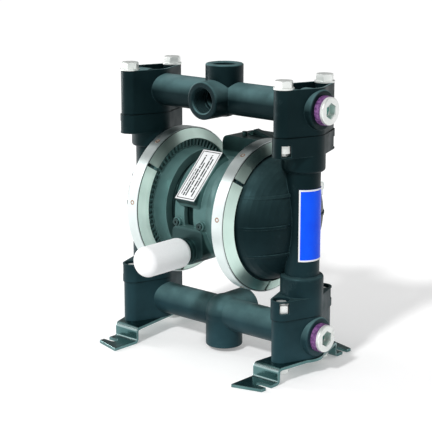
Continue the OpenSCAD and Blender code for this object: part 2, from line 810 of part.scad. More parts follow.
// Two actuator pistons with the bridge that drives the carriage
module valve_pistons() {
    half = carriage_w / 2 - valve_travel / 2;
    bridge_r = piston_r / 2;
    bridge_y = plate_y + carriage_w / 2 + 2 * running_gap - valve_axis_y;
    color([0.8, 0.8, 0.82]) translate([valve_shift_x, valve_axis_y, drum_z + valve_axis_h]) {
        for (s = both_ends) rotate([0, s > 0 ? 0 : 180, 0]) translate([half + running_gap, 0, 0])
            x_rod(piston_r, piston_len - half - running_gap);
        translate([-half - running_gap, bridge_y / 2, -bridge_r])
            cube([2 * (half + running_gap), bridge_r - bridge_y / 2, 2 * bridge_r]);
    }
}

// Shaft and diaphragms

rim_in_r = dome_r - dome_wall;
plate_r = rim_in_r - fold_w;
shaft_half = flange_face_x - plate_t;
shaft_screw_r = 5;
shaft_screw_depth = 20;
shaft_screw_head_h = 7;
hub_r = 14;

module diaphragm_shaft() {
    color([0.75, 0.77, 0.78]) translate([0, 0, drum_z]) difference() {
        translate([-shaft_half, 0, 0]) x_rod(shaft_r, 2 * shaft_half);
        for (s = both_ends) rotate([0, s * 90, 0]) translate([0, 0, shaft_half - shaft_screw_depth])
            cylinder(r = shaft_screw_r, h = shaft_screw_depth + over);
    }
}

// Ring round the shaft from x0 outwards, on both sides
module shaft_rings(x0, len, wall) {
    for (s = both_ends) translate([0, 0, drum_z]) rotate([0, s * 90, 0]) translate([0, 0, x0]) difference() {
        cylinder(r = shaft_r + wall, h = len);
        translate([0, 0, -over]) cylinder(r = shaft_r + running_gap, h = len + 2 * over);
    }
}

seal_len = 4;

module shaft_bearings() {
    color([0.85, 0.8, 0.6]) shaft_rings(chamber_wall_x - seal_len - bearing_len, bearing_len, bearing_wall);
}

module shaft_seals() {
    color([0.1, 0.1, 0.1]) shaft_rings(chamber_wall_x - seal_len, seal_len, bearing_wall);
}

// Dished plate against a diaphragm: hub on the far side, rounded towards its rim
module diaphragm_plate(rim_t) {
    turned_about_x([
        [0, shaft_screw_r], [0, plate_r], [rim_t, plate_r], [plate_t / 2, plate_r * 2 / 3],
        [plate_t, hub_r], [plate_t, shaft_screw_r]
    ]);
}

module air_side_plates() {
    color([0.6, 0.63, 0.65]) for (s = both_ends) translate([0, 0, drum_z]) rotate([0, 0, s > 0 ? 0 : 180])
        translate([flange_face_x, 0, 0]) mirror([1, 0, 0]) diaphragm_plate(plate_t / 4);
}

module fluid_side_plates() {
    color([0.62, 0.62, 0.6]) for (s = both_ends) translate([0, 0, drum_z]) rotate([0, 0, s > 0 ? 0 : 180])
        translate([clamp_x + face_x, 0, 0]) diaphragm_plate(plate_t / 4);
}

module shaft_screws() {
    shank = diaphragm_t + 2 * plate_t + shaft_screw_depth - over;
    color([0.7, 0.72, 0.74]) for (s = both_ends) translate([0, 0, drum_z]) rotate([0, s * 90, 0])
        translate([0, 0, clamp_x + face_x + plate_t]) {
            translate([0, 0, -shank]) cylinder(r = shaft_screw_r, h = shank);
            cylinder(r = hex_r, h = shaft_screw_head_h, $fn = 6);
        }
}

// Right diaphragm: flat centre, one rolled fold and a clamped rim
module diaphragm() {
    fold_r = (rim_in_r - plate_r) / 2 - diaphragm_t / 2;
    fold_mid_r = (rim_in_r + plate_r) / 2;
    rim_out_r = flange_r - over;
    translate([clamp_x, 0, drum_z]) rotate([0, 90, 0]) rotate_extrude() {
        translate([shaft_screw_r, -face_x]) square([fold_mid_r - fold_r + diaphragm_t / 2 - shaft_screw_r, diaphragm_t]);
        translate([fold_mid_r + fold_r - diaphragm_t / 2, -face_x])
            square([rim_out_r - fold_mid_r - fold_r + diaphragm_t / 2, diaphragm_t]);
        intersection() {
            translate([fold_mid_r, 0]) difference() {
                circle(fold_r + face_x);
                circle(fold_r - face_x);
            }
            translate([0, -face_x]) square([rim_out_r, rim_out_r]);
        }
    }
}

module diaphragm_right() {
    color([0.12, 0.12, 0.12]) diaphragm();
}

module diaphragm_left() {
    color([0.12, 0.12, 0.12]) mirror([1, 0, 0]) diaphragm();
}

// Pilot pins that stand out of the chamber walls and are pushed in by the air side plates
pilot_out = shaft_half - shaft_travel - chamber_wall_x - 3 * seat_gap;
pilot_in = chamber_wall_x - groove_inner_x / 2 - pilot_travel - over;

module pilot_pin_left() {
    color([0.8, 0.8, 0.82]) translate([-chamber_wall_x - pilot_out, 0, drum_z + pilot_offset])
        x_rod(pilot_r, pilot_out + pilot_in);
}

module pilot_pin_right() {
    color([0.8, 0.8, 0.82]) translate([chamber_wall_x - pilot_in, 0, drum_z - pilot_offset])
        x_rod(pilot_r, pilot_out + pilot_in);
}

// Check valves

module valve_ball(side, seat_top_z) {
    color([0.9, 0.9, 0.88]) translate([side * column_x, 0, seat_top_z + ball_rise]) sphere(ball_r);
}

outlet_seat_top_z = upper_seat_z - cage_h;

module inlet_ball_left() {
    valve_ball(-1, lower_seat_z);
}

module inlet_ball_right() {
    valve_ball(1, lower_seat_z);
}

module outlet_ball_left() {
    valve_ball(-1, outlet_seat_top_z);
}

module outlet_ball_right() {
    valve_ball(1, outlet_seat_top_z);
}

// Both seats of one side of the pump, with their tops at height top_z
module seats(top_z) {
    color([0.75, 0.76, 0.76]) at_columns() translate([0, 0, top_z - seat_h]) difference() {
        cylinder(r = seat_r, h = seat_h);
        translate([0, 0, -over]) cylinder(r = seat_bore_r, h = seat_h + 2 * over);
    }
}

module inlet_seats() {
    seats(lower_seat_z);
}

module outlet_seats() {
    seats(outlet_seat_top_z);
}

module sealing_rings() {
    color([0.1, 0.1, 0.1]) at_columns() difference() {
        cylinder(r = ring_r + ring_w - running_gap, h = ring_h - running_gap);
        translate([0, 0, -over]) cylinder(r = ring_r + running_gap, h = ring_h + 2 * over);
    }
}

module inlet_seals() {
    translate([0, 0, lower_seat_z]) mirror([0, 0, 1]) sealing_rings();
}

module outlet_seals() {
    translate([0, 0, upper_seat_z]) sealing_rings();
}

// Diaphragm clamps

// Profile drawn in [radius, X] turned round the X axis from angle a1 to a2, front towards top
module arc_about_x(a1, a2) {
    rotate([0, 90, 0]) rotate([0, 0, -90 - a2]) rotate_extrude(angle = a2 - a1) children();
}

closing_angle = first_gap_angle + 120;
trunnion_r = clamp_bolt_r + 1.5;
loop_r = trunnion_r + seat_gap + strap_t;
loop_mid_r = clamp_r - strap_t + loop_r;
strap_end_angle = asin(2 * loop_r / loop_mid_r) + 2;

// Places children at a strap loop: sign -1 for the T-bolt's loop, 1 for the trunnion's
module at_loop(sign) {
    rotate([-closing_angle - sign * strap_end_angle, 0, 0]) translate([0, -loop_mid_r, 0]) children();
}

// Places children on the clamp bolt's axis, which becomes +Z
module on_clamp_bolt() {
    rotate([-closing_angle, 0, 0]) translate([0, -loop_mid_r * cos(strap_end_angle), 0]) children();
}

module clamp_strap() {
    slot_r = clamp_bolt_r + 4 * seat_gap;
    bolt_run = loop_mid_r * sin(strap_end_angle) + 2 * loop_r;
    difference() {
        union() {
            arc_about_x(closing_angle + strap_end_angle - 360, closing_angle - strap_end_angle)
                translate([clamp_r - strap_t, -strap_w / 2]) square([strap_t, strap_w]);
            for (s = both_ends) at_loop(s) translate([-strap_w / 2, 0, 0]) x_rod(loop_r, strap_w);
        }
        for (s = both_ends) at_loop(s) translate([-strap_w, 0, 0]) x_rod(trunnion_r + seat_gap, 2 * strap_w);
        on_clamp_bolt() translate([-slot_r, -slot_r, -bolt_run]) cube([2 * slot_r, 2 * slot_r, 2 * bolt_run]);
    }
}

segment_r = clamp_r - strap_t - seat_gap;

// Half profile of a V segment in [radius, X]
module segment_profile() {
    wall_x = segment_t * sqrt(leg_flare * leg_flare + leg_depth * leg_depth) / leg_depth;
    polygon([
        [segment_r, 0], [segment_r, strap_w / 2], [segment_r - leg_depth, strap_w / 2 + leg_flare],
        [segment_r - leg_depth, strap_w / 2 + leg_flare - wall_x],
        [segment_r - segment_t, strap_w / 2 + leg_flare * segment_t / leg_depth - wall_x],
        [segment_r - segment_t, 0]
    ]);
}

module clamp_segments() {
    half_gap = asin(segment_gap / 2 / segment_r);
    for (i = [0 : 2])
        arc_about_x(first_gap_angle + i * 120 + half_gap, first_gap_angle + (i + 1) * 120 - half_gap) {
            segment_profile();
            mirror([0, 1]) segment_profile();
        }
}

// Places children, drawn round a clamp's centre, at both clamps
module at_clamps() {
    for (s = both_ends) translate([s * clamp_x, 0, drum_z]) children();
}

module clamp_strap_left() {
    color([0.8, 0.84, 0.84]) translate([-clamp_x, 0, drum_z]) clamp_strap();
}

module clamp_strap_right() {
    color([0.8, 0.84, 0.84]) translate([clamp_x, 0, drum_z]) clamp_strap();
}

module clamp_segments_left() {
    color([0.6, 0.7, 0.68]) translate([-clamp_x, 0, drum_z]) clamp_segments();
}

module clamp_segments_right() {
    color([0.6, 0.7, 0.68]) translate([clamp_x, 0, drum_z]) clamp_segments();
}

clamp_nut_af = 10;
clamp_nut_h = 5;
loop_span = loop_mid_r * sin(strap_end_angle);

// T-shaped bolts, each with its cross pin in one loop
module clamp_bolts() {
    shank = 2 * loop_span + loop_r + clamp_nut_h + 2 * bolt_tip;
    color([0.75, 0.77, 0.78]) at_clamps() {
        at_loop(-1) translate([-strap_w / 2, 0, 0]) x_rod(trunnion_r, strap_w);
        on_clamp_bolt() translate([0, 0, -loop_span]) cylinder(r = clamp_bolt_r, h = shank);
    }
}

module clamp_trunnions() {
    color([0.72, 0.72, 0.7]) at_clamps() difference() {
        at_loop(1) translate([-strap_w / 2, 0, 0]) x_rod(trunnion_r, strap_w);
        on_clamp_bolt() cylinder(r = clamp_bolt_r + running_gap, h = 2 * loop_span);
    }
}

module clamp_nuts() {
    color([0.75, 0.77, 0.78]) at_clamps() on_clamp_bolt() translate([0, 0, loop_span + loop_r]) difference() {
        cylinder(r = clamp_nut_af / 2 / cos(30), h = clamp_nut_h, $fn = 6);
        translate([0, 0, -over]) cylinder(r = clamp_bolt_r + running_gap, h = clamp_nut_h + 2 * over);
    }
}

// Manifold bolts

// Hexagon of the bolt heads with chamfered corners, up from the local origin
module bolt_head() {
    intersection() {
        cylinder(r = hex_r, h = head_h, $fn = 6);
        cylinder(r1 = hex_af / 2 + head_h, r2 = hex_af / 2, h = head_h);
    }
}

// Bolt with its head against a stack of the given height above the parting plane
module manifold_bolt(stack) {
    below = nut_ledge + nut_h + bolt_tip;
    translate([0, 0, stack]) bolt_head();
    translate([0, 0, -below]) cylinder(r = bolt_r, h = below + stack);
}

module manifold_washer(stack) {
    translate([0, 0, stack - washer_t]) difference() {
        cylinder(r = washer_r, h = washer_t);
        translate([0, 0, -over]) cylinder(r = bolt_r + running_gap, h = washer_t + 2 * over);
    }
}

module manifold_nut() {
    translate([0, 0, -nut_ledge - nut_h]) difference() {
        cylinder(r = nut_r, h = nut_h, $fn = 6);
        translate([0, 0, -over]) cylinder(r = bolt_r + running_gap, h = nut_h + 2 * over);
    }
}

outlet_stack = outlet_inner + block_outer + washer_t;
inlet_stack = inlet_inner + block_outer + foot_t + washer_t;

module outlet_bolts() {
    color([0.85, 0.86, 0.84]) translate([0, 0, upper_seat_z]) at_bolts() manifold_bolt(outlet_stack);
}

module outlet_washers() {
    color([0.8, 0.82, 0.82]) translate([0, 0, upper_seat_z]) at_bolts() manifold_washer(outlet_stack);
}

module outlet_nuts() {
    color([0.85, 0.86, 0.84]) translate([0, 0, upper_seat_z]) at_bolts() manifold_nut();
}

module inlet_bolts() {
    color([0.85, 0.86, 0.84]) translate([0, 0, lower_seat_z]) mirror([0, 0, 1]) at_bolts()
        manifold_bolt(inlet_stack);
}

module inlet_washers() {
    color([0.8, 0.82, 0.82]) translate([0, 0, lower_seat_z]) mirror([0, 0, 1]) at_bolts()
        manifold_washer(inlet_stack);
}

module inlet_nuts() {
    color([0.85, 0.86, 0.84]) translate([0, 0, lower_seat_z]) mirror([0, 0, 1]) at_bolts() manifold_nut();
}

// Plugs

sealant_len = 6;
plug_round = 1.2;
socket_depth = 8;

module manifold_plugs(axis_z) {
    color([0.86, 0.88, 0.88]) for (s = both_ends) translate([0, 0, axis_z]) rotate([0, s * 90, 0])
        translate([0, 0, end_face_x]) difference() {
            union() {
                translate([0, 0, -port_thread_depth + over])
                    cylinder(r = port_thread_r - running_gap, h = port_thread_depth);
                rounded_boss(plug_r, plug_face_x - end_face_x, plug_round);
            }
            translate([0, 0, plug_face_x - end_face_x - socket_depth])
                cylinder(r = socket_af / 2 / cos(30), h = socket_depth + over, $fn = 6);
        }
}

module outlet_plugs() {
    manifold_plugs(outlet_axis_h);
}

module inlet_plugs() {
    manifold_plugs(inlet_axis_h);
}

// Thread sealant that stands out round all four plugs
module plug_sealant() {
    color([0.42, 0.3, 0.55]) for (s = both_ends, z = [inlet_axis_h, outlet_axis_h])
        translate([0, 0, z]) rotate([0, s * 90, 0]) translate([0, 0, end_face_x + seat_gap]) difference() {
            cylinder(r = port_mouth_r + 4 * seat_gap, h = sealant_len);
            translate([0, 0, -over]) cylinder(r = plug_r + running_gap, h = sealant_len + 2 * over);
        }
}

// Feet

leg_y = bolt_offset + leg_out;
foot_y = leg_y + foot_len;
slot_y = leg_y + slot_out;
plate_swell = 1.7;
plate_in = 14.8;

// Points of an arc in a flat outline
function arc_points(x, y, r, a1, a2, steps) =
    [for (i = [0 : steps]) [x + r * cos(a1 + (a2 - a1) * i / steps), y + r * sin(a1 + (a2 - a1) * i / steps)]];

bend_steps = 6;

// Half of a bracket's side view in [Y, Z], from the plate over the leg to the foot and back below
function bracket_half() = let(turn = bend_r + foot_t, in_y = leg_y - turn, out_y = leg_y + bend_r) concat(
    arc_points(in_y, block_base_z - turn, turn, 90, 0, bend_steps),
    arc_points(out_y, turn, bend_r, 180, 270, bend_steps),
    [[foot_y, foot_t], [foot_y, 0]],
    arc_points(out_y, turn, turn, 270, 180, bend_steps),
    arc_points(in_y, block_base_z - turn, bend_r, 0, 90, bend_steps)
);

// Plan of the right bracket, round the column's axis: its front foot lies further out than its rear one
module bracket_plan() {
    swell_r = block_mid_r + plate_swell;
    rear_out = foot_out - foot_shift;
    polygon([
        [foot_out - foot_w, -foot_y], [foot_out, -foot_y + foot_slant], [foot_out, -leg_y],
        [swell_r * cos(35), -swell_r * sin(35)], [swell_r * cos(35), swell_r * sin(35)],
        [rear_out, leg_y], [rear_out, foot_y - foot_slant], [rear_out - foot_w, foot_y],
        [rear_out - foot_w, leg_y], [-plate_in, -block_mid_r], [foot_out - foot_w, -leg_y]
    ]);
    intersection() {
        circle(swell_r);
        translate([0, -swell_r]) square(2 * swell_r);
    }
}

// Slot that is open at a foot's outer edge: x is that edge's distance from the column's axis
module foot_slot(x, y) {
    translate([x - slot_len, y - slot_w / 2]) square([foot_w, slot_w]);
    translate([x - slot_len, y]) circle(d = slot_w, $fn = 48);
}

// Bracket on the right: its side view along X, cut to its plan
module foot_bracket() {
    reach = foot_w + foot_shift;
    half = bracket_half();
    last = len(half) - 1;
    outline = concat(half, [for (i = [0 : last]) [-half[last - i][0], half[last - i][1]]]);
    translate([column_x, 0, 0]) intersection() {
        translate([-reach, 0, 0]) rotate([90, 0, 90]) linear_extrude(2 * reach) polygon(outline);
        translate([0, 0, -over]) linear_extrude(block_base_z + 2 * over) difference() {
            bracket_plan();
            foot_slot(foot_out, -slot_y);
            foot_slot(foot_out - foot_shift, slot_y);
            for (s = both_ends) translate([0, s * bolt_offset]) circle(bolt_hole_r);
        }
    }
}

module foot_bracket_right() {
    color([0.1, 0.1, 0.11]) foot_bracket();
}

module foot_bracket_left() {
    color([0.1, 0.1, 0.11]) rotate([0, 0, 180]) foot_bracket();
}

// Muffler and labels

module muffler() {
    start_y = exhaust_front + boss_reach + over;
    color([0.93, 0.94, 0.95]) translate([0, -start_y, drum_z - muffler_drop]) rotate([90, 0, 0]) {
        rotate_extrude() intersection() {
            square([muffler_r, muffler_len]);
            union() {
                square([muffler_r - muffler_round, muffler_len]);
                translate([0, muffler_round]) square([muffler_r, muffler_len - 2 * muffler_round]);
                for (y = [muffler_round, muffler_len - muffler_round])
                    translate([muffler_r - muffler_round, y]) circle(muffler_round, $fn = 64);
            }
        }
        neck = boss_reach + screw_depth - over;
        translate([0, 0, -neck]) cylinder(r = muffler_neck_r - running_gap, h = neck + over);
    }
}

module boss_label() {
    color([0.93, 0.94, 0.95]) translate([0, 0, drum_z]) rotate([45, 0, 0])
        translate([-label_w / 2, -label_len / 2, boss_d]) cube([label_w, label_len, label_t]);
}

module cover_badge() {
    color([0.0, 0.3, 0.9]) translate([column_x, 0, drum_z - badge_h / 2]) rotate([0, 0, -badge_wrap / 2])
        rotate_extrude(angle = badge_wrap) translate([column_r + running_gap, 0]) square([label_t, badge_h]);
}

outlet_manifold();
inlet_manifold();
fluid_cover_left();
fluid_cover_right();
center_housing();
air_valve_gasket();
air_valve_cover();
air_valve_screws();
valve_plate();
valve_carriage();
valve_pistons();
diaphragm_shaft();
shaft_bearings();
shaft_seals();
air_side_plates();
fluid_side_plates();
shaft_screws();
diaphragm_left();
diaphragm_right();
pilot_pin_left();
pilot_pin_right();
inlet_ball_left();
inlet_ball_right();
outlet_ball_left();
outlet_ball_right();
inlet_seats();
outlet_seats();
inlet_seals();
outlet_seals();
clamp_strap_left();
clamp_strap_right();
clamp_segments_left();
clamp_segments_right();
clamp_bolts();
clamp_trunnions();
clamp_nuts();
outlet_bolts();
outlet_washers();
outlet_nuts();
inlet_bolts();
inlet_washers();
inlet_nuts();
outlet_plugs();
inlet_plugs();
plug_sealant();
foot_bracket_left();
foot_bracket_right();
muffler();
exhaust_screws();
boss_label();
cover_badge();
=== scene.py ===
import functools
import json
import math

import bmesh
import bpy
from mathutils import Euler, Matrix, Vector

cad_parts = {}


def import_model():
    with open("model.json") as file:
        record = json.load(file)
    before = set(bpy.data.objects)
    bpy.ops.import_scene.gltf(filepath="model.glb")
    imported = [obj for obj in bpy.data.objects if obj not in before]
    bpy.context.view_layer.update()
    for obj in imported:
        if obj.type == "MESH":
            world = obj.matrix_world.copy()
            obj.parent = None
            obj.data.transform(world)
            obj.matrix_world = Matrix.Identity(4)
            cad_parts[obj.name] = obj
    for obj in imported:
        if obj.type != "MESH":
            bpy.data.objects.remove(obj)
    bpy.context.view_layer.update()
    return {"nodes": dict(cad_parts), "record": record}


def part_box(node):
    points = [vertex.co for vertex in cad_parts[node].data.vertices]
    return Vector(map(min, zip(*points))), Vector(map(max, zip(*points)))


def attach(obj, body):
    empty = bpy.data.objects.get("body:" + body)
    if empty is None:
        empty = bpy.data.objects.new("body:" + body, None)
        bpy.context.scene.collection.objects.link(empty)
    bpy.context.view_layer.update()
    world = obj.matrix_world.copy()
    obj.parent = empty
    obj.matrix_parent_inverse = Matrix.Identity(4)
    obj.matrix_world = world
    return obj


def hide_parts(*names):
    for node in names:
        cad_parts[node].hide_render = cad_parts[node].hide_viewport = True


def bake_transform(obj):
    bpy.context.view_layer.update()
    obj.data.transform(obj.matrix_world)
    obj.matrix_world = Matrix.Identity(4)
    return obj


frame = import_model()
MM = 0.001


def middle_z(node):
    """Height of a node's middle."""
    low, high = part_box(node)
    return (low.z + high.z) / 2


# Places read off the CAD frame

STRAPS = {side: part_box("clamp_strap_" + side) for side in ("left", "right")}
DRUM_Z = middle_z("diaphragm_shaft")
STRAP_R = DRUM_Z - STRAPS["left"][0].z
COVER_LOW, COVER_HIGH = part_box("fluid_cover_left")

# Sizes that no box gives, as radius and half width about the drum's axis, which bound painted shade: the
# segments' shoulder under the strap, and the housing's groove, rib hollows and rim

CREASE_SHADE_R = STRAP_R - 1.6 * MM
GROOVE_R, GROOVE_HALF = 47 * MM, 31 * MM
HOLLOW_R, HOLLOW_HALF = 56 * MM, 44 * MM
RIM_R = 67 * MM

# Half height of the painted shade along the seam between an end block and a cover, and thickness of print,
# border and plating

SEAM_SHADE_HALF = 0.45 * MM
FILM_T = 0.08 * MM


# Node helpers

SOCKETS = {"metallic": "Metallic", "specular_ior_level": "Specular IOR Level",
           "specular_tint": "Specular Tint", "anisotropic": "Anisotropic",
           "anisotropic_rotation": "Anisotropic Rotation", "ior": "IOR"}


class Nodes:
    """The node tree of a material or a world, with short calls for the nodes used here."""

    def __init__(self, owner):
        owner.use_nodes = True
        self.tree = owner.node_tree

    def node(self, kind, **values):
        made = self.tree.nodes.new(kind)
        for key, value in values.items():
            setattr(made, key, value)
        return made

    def link(self, source, target):
        self.tree.links.new(source, target)

    def put(self, value, socket):
        """Sets a socket to a plain value, or links it where the value is another node's output."""
        if isinstance(value, bpy.types.NodeSocket):
            self.link(value, socket)
        else:
            socket.default_value = value

    def math(self, operation, a, b=0.0):
        made = self.node("ShaderNodeMath", operation=operation)
        self.put(a, made.inputs[0])
        self.put(b, made.inputs[1])
        return made.outputs[0]

    def times(self, a, b):
        return self.math("MULTIPLY", a, b)

    def most(self, *values):
        """The largest of several values."""
        return functools.reduce(functools.partial(self.math, "MAXIMUM"), values)

    def between(self, factor, low, high, start=0.35, end=0.65, curve="LINEAR"):
        """Runs from low to high while the factor runs from start to end, by default the range of a noise."""
        made = self.node("ShaderNodeMapRange", interpolation_type=curve)
        self.put(factor, made.inputs["Value"])
        for name, value in (("From Min", start), ("From Max", end), ("To Min", low), ("To Max", high)):
            made.inputs[name].default_value = value
        return made.outputs["Result"]


class Finish(Nodes):
    """A procedural material. Lengths and places are in metres, in the frame's coordinates."""

    def __init__(self, name):
        self.material = bpy.data.materials.new(name)
        super().__init__(self.material)
        self.shader = self.tree.nodes["Principled BSDF"]
        self.place = self.node("ShaderNodeTexCoord").outputs["Object"]

    def stretched(self, x, y, z, shift=(0, 0, 0)):
        """Object coordinates scaled by x, y and z and then shifted."""
        made = self.node("ShaderNodeMapping")
        self.link(self.place, made.inputs["Vector"])
        made.inputs["Scale"].default_value = (x, y, z)
        made.inputs["Location"].default_value = shift
        return made.outputs["Vector"]

    def axis(self, name):
        """One object coordinate."""
        made = self.node("ShaderNodeSeparateXYZ")
        self.link(self.place, made.inputs[0])
        return made.outputs[name]

    def drum_radius(self):
        """Distance from the drum's axis."""
        made = self.node("ShaderNodeVectorMath", operation="LENGTH")
        self.link(self.stretched(0, 1, 1, (0, 0, -DRUM_Z)), made.inputs[0])
        return made.outputs["Value"]

    def rings(self, slope=0.35):
        """Coordinates that change only across rings round the drum's axis; slope is the radius's share."""
        made = self.node("ShaderNodeCombineXYZ")
        across = self.math("ADD", self.axis("X"), self.times(self.drum_radius(), slope))
        self.link(across, made.inputs["X"])
        return made.outputs[0]

    def facing_up(self, start, end):
        """Runs from 0 to 1 while the upward part of the surface's normal runs from start to end."""
        made = self.node("ShaderNodeSeparateXYZ")
        self.link(self.node("ShaderNodeNewGeometry").outputs["Normal"], made.inputs[0])
        return self.between(made.outputs["Z"], 0.0, 1.0, start, end)

    def noise(self, scale, detail=3.0, vector=None):
        """Noise with features about one over scale wide."""
        made = self.node("ShaderNodeTexNoise")
        self.link(vector or self.place, made.inputs["Vector"])
        made.inputs["Scale"].default_value = scale
        made.inputs["Detail"].default_value = detail
        return made.outputs["Fac"]

    def mix(self, factor, low, high):
        """A colour between low and high."""
        made = self.node("ShaderNodeMix", data_type="RGBA")
        self.put(factor, made.inputs["Factor"])
        ends = [socket for socket in made.inputs if socket.type == "RGBA"]
        self.put(rgba(low), ends[0])
        self.put(rgba(high), ends[1])
        return [socket for socket in made.outputs if socket.type == "RGBA"][0]

    def mottle(self, scale, detail, dark, light):
        """A colour that drifts between dark and light in clouds about one over scale wide."""
        return self.mix(self.between(self.noise(scale, detail), 0.0, 1.0), dark, light)

    def bump(self, height, depth, base=None):
        """Normal of a surface whose relief is depth high."""
        made = self.node("ShaderNodeBump")
        made.inputs["Strength"].default_value = 1.0
        made.inputs["Distance"].default_value = depth
        self.link(height, made.inputs["Height"])
        if base:
            self.link(base, made.inputs["Normal"])
        return made.outputs["Normal"]

    def soft_edges(self, radius):
        """Normal of a surface with rounded edges."""
        made = self.node("ShaderNodeBevel", samples=8)
        made.inputs["Radius"].default_value = radius
        return made.outputs["Normal"]

    def worn(self, soft, start=0.03, end=0.22):
        """1 along edges that handling has rubbed, 0 on faces; soft is the normal with softened edges."""
        plain = self.node("ShaderNodeNewGeometry").outputs["Normal"]
        made = self.node("ShaderNodeVectorMath", operation="DOT_PRODUCT")
        self.link(soft, made.inputs[0])
        self.link(plain, made.inputs[1])
        edge = self.between(made.outputs["Value"], 1.0, 0.0, 1 - end, 1 - start)
        return self.times(edge, self.between(self.noise(160.0, 4.0), 0.3, 1.0, 0.38, 0.58))

    def scuffs(self, share=0.62):
        """Sparse scuffed patches with short scratches in them; a lower share gives more patches."""
        patches = self.between(self.noise(38.0, 5.0), 0.0, 1.0, share, share + 0.14)
        scratches = self.between(self.noise(700.0, 2.0, self.stretched(1, 0.25, 0.6)), 0.2, 1.0, 0.42, 0.6)
        return self.times(patches, scratches)

    def done(self, colour, roughness, normal=None, **fixed):
        """Feeds the shader; fixed values are the same all over the surface."""
        self.put(rgba(colour), self.shader.inputs["Base Color"])
        self.put(roughness, self.shader.inputs["Roughness"])
        if normal:
            self.link(normal, self.shader.inputs["Normal"])
        for name, value in fixed.items():
            self.shader.inputs[SOCKETS[name]].default_value = value
        return self.material


def rgba(colour):
    return colour if isinstance(colour, bpy.types.NodeSocket) or len(colour) == 4 else (*colour, 1.0)


def scaled(colour, share):
    return tuple(share * c for c in colour)


# Finishes, one for each material slot of the record

def black_acetal(name, dusty_and_top_lit):
    """Satin moulded plastic: cloudy black, lighter low down as painted light from the floor, rubbed edges,
    scuffs, painted shade along the seams by the end blocks, and a dusting on top that is also painted top
    light.
    """
    g = Finish(name)
    soft = g.soft_edges(0.9 * MM)
    cloud = g.noise(24.0, 4.0)
    height = g.axis("Z")
    colour = g.mix(g.between(cloud, 0.0, 1.0), (0.0018, 0.0065, 0.0078), (0.0045, 0.0125, 0.0145))
    # Painted light: lighter towards the floor, standing for light thrown up by the white floor.
    painted_floor_light = g.times(g.between(height, 1.0, 0.0, 20 * MM, 140 * MM), g.between(cloud, 0.6, 1.0))
    colour = g.mix(painted_floor_light, colour, (0.0210, 0.0540, 0.0660))
    # A dusting on up-facing surfaces, lighter in patches, which is also painted light on the tops; the
    # manifolds get the most.
    dust_and_top_light = g.times(g.facing_up(0.0, 0.70), g.between(g.noise(55.0, 6.0), 0.6 * dusty_and_top_lit, dusty_and_top_lit))
    colour = g.mix(dust_and_top_light, colour, (0.085, 0.165, 0.172))
    colour = g.mix(g.times(g.scuffs(), 0.5), colour, (0.055, 0.090, 0.098))
    colour = g.mix(g.times(g.worn(soft), 0.8), colour, (0.050, 0.100, 0.108))
    # Painted shade: a near-black band along each seam between an end block and a cover stands for the shade in
    # the seam's chamfer.
    offsets = [g.math("ABSOLUTE", g.math("SUBTRACT", height, end.z)) for end in (COVER_LOW, COVER_HIGH)]
    seam_shade = g.most(*[g.between(offset, 1.0, 0.0, 0.5 * SEAM_SHADE_HALF, SEAM_SHADE_HALF) for offset in offsets])
    colour = g.mix(seam_shade, colour, (0.0012, 0.0020, 0.0022))
    roughness = g.between(g.noise(60.0, 5.0), 0.36, 0.50)
    normal = g.bump(g.noise(900.0, 2.0), 0.04 * MM, soft)
    return g.done(colour, roughness, normal, specular_ior_level=0.16, specular_tint=(0.40, 0.86, 0.95, 1.0))


def grey_housing():
    """Satin moulded grey: pale on the drums and the body, with painted shade, near black, in the groove, the
    rib hollows and outside the rim.
    """
    g = Finish("grey_housing")
    soft = g.soft_edges(0.8 * MM)
    cloud = g.between(g.noise(26.0, 4.0), 0.0, 1.0)
    colour = g.mix(cloud, (0.056, 0.116, 0.113), (0.092, 0.172, 0.167))
    colour = g.mix(g.times(g.scuffs(), 0.35), colour, (0.16, 0.25, 0.245))
    colour = g.mix(g.times(g.worn(soft), 0.6), colour, (0.27, 0.42, 0.41))
    # Painted shade: the groove, the rib hollows and all outside the rim radius are coloured near black for the
    # shade that falls in them.
    across = g.math("ABSOLUTE", g.axis("X"))
    out = g.drum_radius()
    groove = g.times(g.between(across, 1.0, 0.0, GROOVE_HALF, GROOVE_HALF + 0.5 * MM),
                     g.between(out, 1.0, 0.0, GROOVE_R - 1 * MM, GROOVE_R))
    hollow = g.times(g.between(across, 1.0, 0.0, HOLLOW_HALF, HOLLOW_HALF + 0.5 * MM),
                     g.between(out, 0.0, 1.0, HOLLOW_R, HOLLOW_R + 2 * MM))
    rim = g.between(out, 0.0, 1.0, RIM_R, RIM_R + 0.5 * MM)
    dark = g.mix(cloud, (0.0010, 0.0040, 0.0045), (0.0040, 0.0100, 0.0110))
    colour = g.mix(g.most(rim, groove, hollow), colour, dark)
    roughness = g.between(g.noise(60.0, 5.0), 0.34, 0.46)
    normal = g.bump(g.noise(850.0, 2.0), 0.04 * MM, soft)
    return g.done(colour, roughness, normal, ior=1.7, specular_tint=(0.42, 0.92, 0.90, 1.0))


def rubber(name, colour):
    """Matt rubber with a fine bloom."""
    g = Finish(name)
    fine = g.noise(700.0, 3.0)
    shade = g.mix(g.between(fine, 0.0, 1.0), colour, scaled(colour, 1.6))
    shade = g.mix(g.between(g.noise(40.0, 4.0), 0.0, 0.4, 0.5, 0.75), shade, (0.05, 0.05, 0.048))
    return g.done(shade, g.between(fine, 0.55, 0.75), g.bump(fine, 0.03 * MM))


def steel(name, dark, light, rough, edge, stretch=(1.0, 1.0, 1.0), grain=500.0, metallic=1.0):
    """Bright metal with fine grain and pale edges; stretch below 1 draws the grain out along that axis."""
    g = Finish(name)
    soft = g.soft_edges(edge)
    grained = g.noise(grain, 3.0, g.stretched(*stretch))
    colour = g.mottle(45.0, 3.0, dark, light)
    colour = g.mix(g.times(g.scuffs(0.58), 0.5), colour, scaled(dark, 0.55))
    colour = g.mix(g.worn(soft), colour, (0.95, 0.96, 0.95))
    roughness = g.between(grained, rough - 0.06, rough + 0.08)
    return g.done(colour, roughness, g.bump(grained, 0.008 * MM, soft), metallic=metallic)


